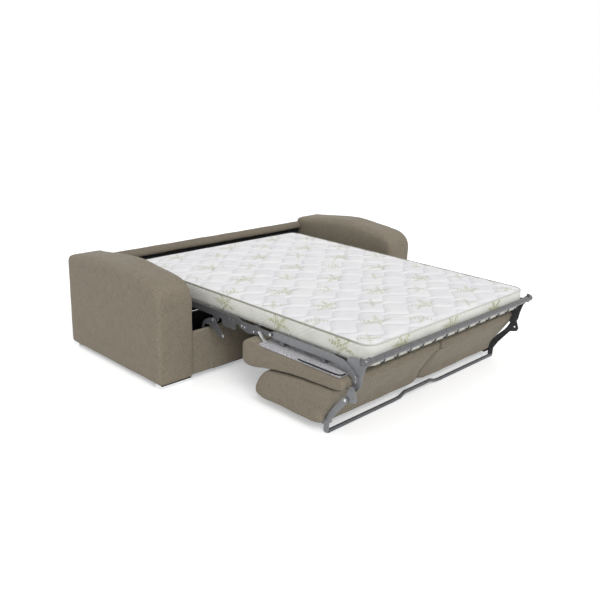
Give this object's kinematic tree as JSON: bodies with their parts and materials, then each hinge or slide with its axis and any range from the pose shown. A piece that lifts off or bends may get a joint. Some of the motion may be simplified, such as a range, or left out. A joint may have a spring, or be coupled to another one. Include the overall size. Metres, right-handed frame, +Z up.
{
  "type": "sleeper sofa with pull out bed",
  "caption": "Sofa whose seat and backrest fold out on a steel linkage into a sprung bed: upholstered arms and rail, mattress in bending sections, floor leg and chrome feet.",
  "frame": {"origin": "on the floor under the middle of the open sofa bed's bounding box", "axes": "+X along the sofa to its right-hand arm as seen from the front, +Y to the rear, towards the low back rail, +Z up"},
  "size_m": [2.108, 2.0044, 0.6063],
  "materials": {
    "upholstery": "taupe brown woven cover",
    "cushion_cover": "taupe brown woven cover, padded",
    "ticking": "white quilted mattress cover with pale green sprigs and a grey-green tape edge",
    "felt": "speckled grey mauve felt",
    "steel_light": "mid grey, satin",
    "steel_dark": "charcoal grey, satin",
    "chrome": "polished",
    "cap": "black"
  },
  "bodies": {
    "base": {"arm_left": "upholstery", "arm_right": "upholstery", "fascia_panel": "upholstery", "back_panel": "upholstery", "top_rail": "upholstery", "foot_front_left": "chrome", "foot_front_right": "chrome", "foot_rear_left": "chrome", "foot_rear_right": "chrome", "side_plate_left": "steel_dark", "side_plate_right": "steel_dark"},
    "swing_arms_front": {"swing_arm_front_left": "steel_light", "swing_arm_front_right": "steel_light"},
    "swing_arms_rear": {"swing_arm_rear_left": "steel_light", "swing_arm_rear_right": "steel_light"},
    "middle": {"middle_rail_left": "steel_light", "middle_rail_right": "steel_dark", "middle_mesh": "steel_light", "mattress_middle": "ticking"},
    "head": {"head_frame": "steel_light", "mattress_head": "ticking"},
    "spacer": {"spacer_link_left": "steel_light", "spacer_link_right": "steel_dark", "spacer_tube": "steel_light", "mattress_fold": "ticking"},
    "foot": {"foot_rail_left": "steel_light", "foot_rail_right": "steel_dark", "foot_tube": "steel_light", "end_plate_left": "steel_dark", "end_plate_right": "steel_dark", "tube_cap_left": "cap", "tube_cap_right": "cap", "foot_mesh": "steel_light", "seat_platform": "felt", "seat_stay_left": "steel_light", "seat_stay_right": "steel_dark", "seat_cushion_left": "cushion_cover", "seat_cushion_right": "cushion_cover", "mattress_foot": "ticking"},
    "back": {"back_board": "upholstery", "back_cushion_left": "cushion_cover", "back_cushion_right": "cushion_cover", "back_bracket_left": "steel_light", "back_bracket_right": "steel_dark"},
    "leg": {"leg_bar_left": "steel_light", "leg_bar_right": "steel_dark", "floor_hoop": "steel_light"}
  },
  "joints": [
    {"name": "bed_fold", "type": "hinge", "parent": "base", "child": "swing_arms_front", "pos_m": [0, 0.17187, 0.14814], "axis": [-1, 0, 0], "range_deg": [0, 153.23]},
    {"name": "rear_swing", "type": "hinge", "parent": "base", "child": "swing_arms_rear", "pos_m": [0, 0.47187, 0.14814], "axis": [-1, 0, 0], "range_deg": [0, 153.23]},
    {"name": "middle_level", "type": "hinge", "parent": "swing_arms_front", "child": "middle", "pos_m": [0, 0.06225, 0.338], "axis": [-1, 0, 0], "range_deg": [-153.23, 0]},
    {"name": "head_tip", "type": "hinge", "parent": "middle", "child": "head", "pos_m": [0, 0.57125, 0.372], "axis": [1, 0, 0], "range_deg": [0, 86], "deforming": ["mattress_head"]},
    {"name": "spacer_fold", "type": "hinge", "parent": "middle", "child": "spacer", "pos_m": [0, -0.12875, 0.372], "axis": [-1, 0, 0], "range_deg": [0, 98], "deforming": ["mattress_fold"]},
    {"name": "foot_fold", "type": "hinge", "parent": "spacer", "child": "foot", "pos_m": [0, -0.36875, 0.372], "axis": [-1, 0, 0], "range_deg": [0, 82]},
    {"name": "back_fold", "type": "hinge", "parent": "foot", "child": "back", "pos_m": [0, -0.90975, 0.266], "axis": [-1, 0, 0], "range_deg": [0, 94]},
    {"name": "leg_fold", "type": "hinge", "parent": "back", "child": "leg", "pos_m": [0, -0.88275, 0.205], "axis": [-1, 0, 0], "range_deg": [0, 80]}
  ],
  "couplings": [
    {"joint": "rear_swing", "follows": "bed_fold", "ratio": 1},
    {"joint": "middle_level", "follows": "bed_fold", "ratio": -1},
    {"joint": "head_tip", "follows": "bed_fold", "ratio": 0.56125},
    {"joint": "spacer_fold", "follows": "bed_fold", "ratio": 0.63956},
    {"joint": "foot_fold", "follows": "bed_fold", "ratio": 0.53514},
    {"joint": "back_fold", "follows": "bed_fold", "ratio": 0.61346},
    {"joint": "leg_fold", "follows": "bed_fold", "ratio": 0.52209}
  ]
}
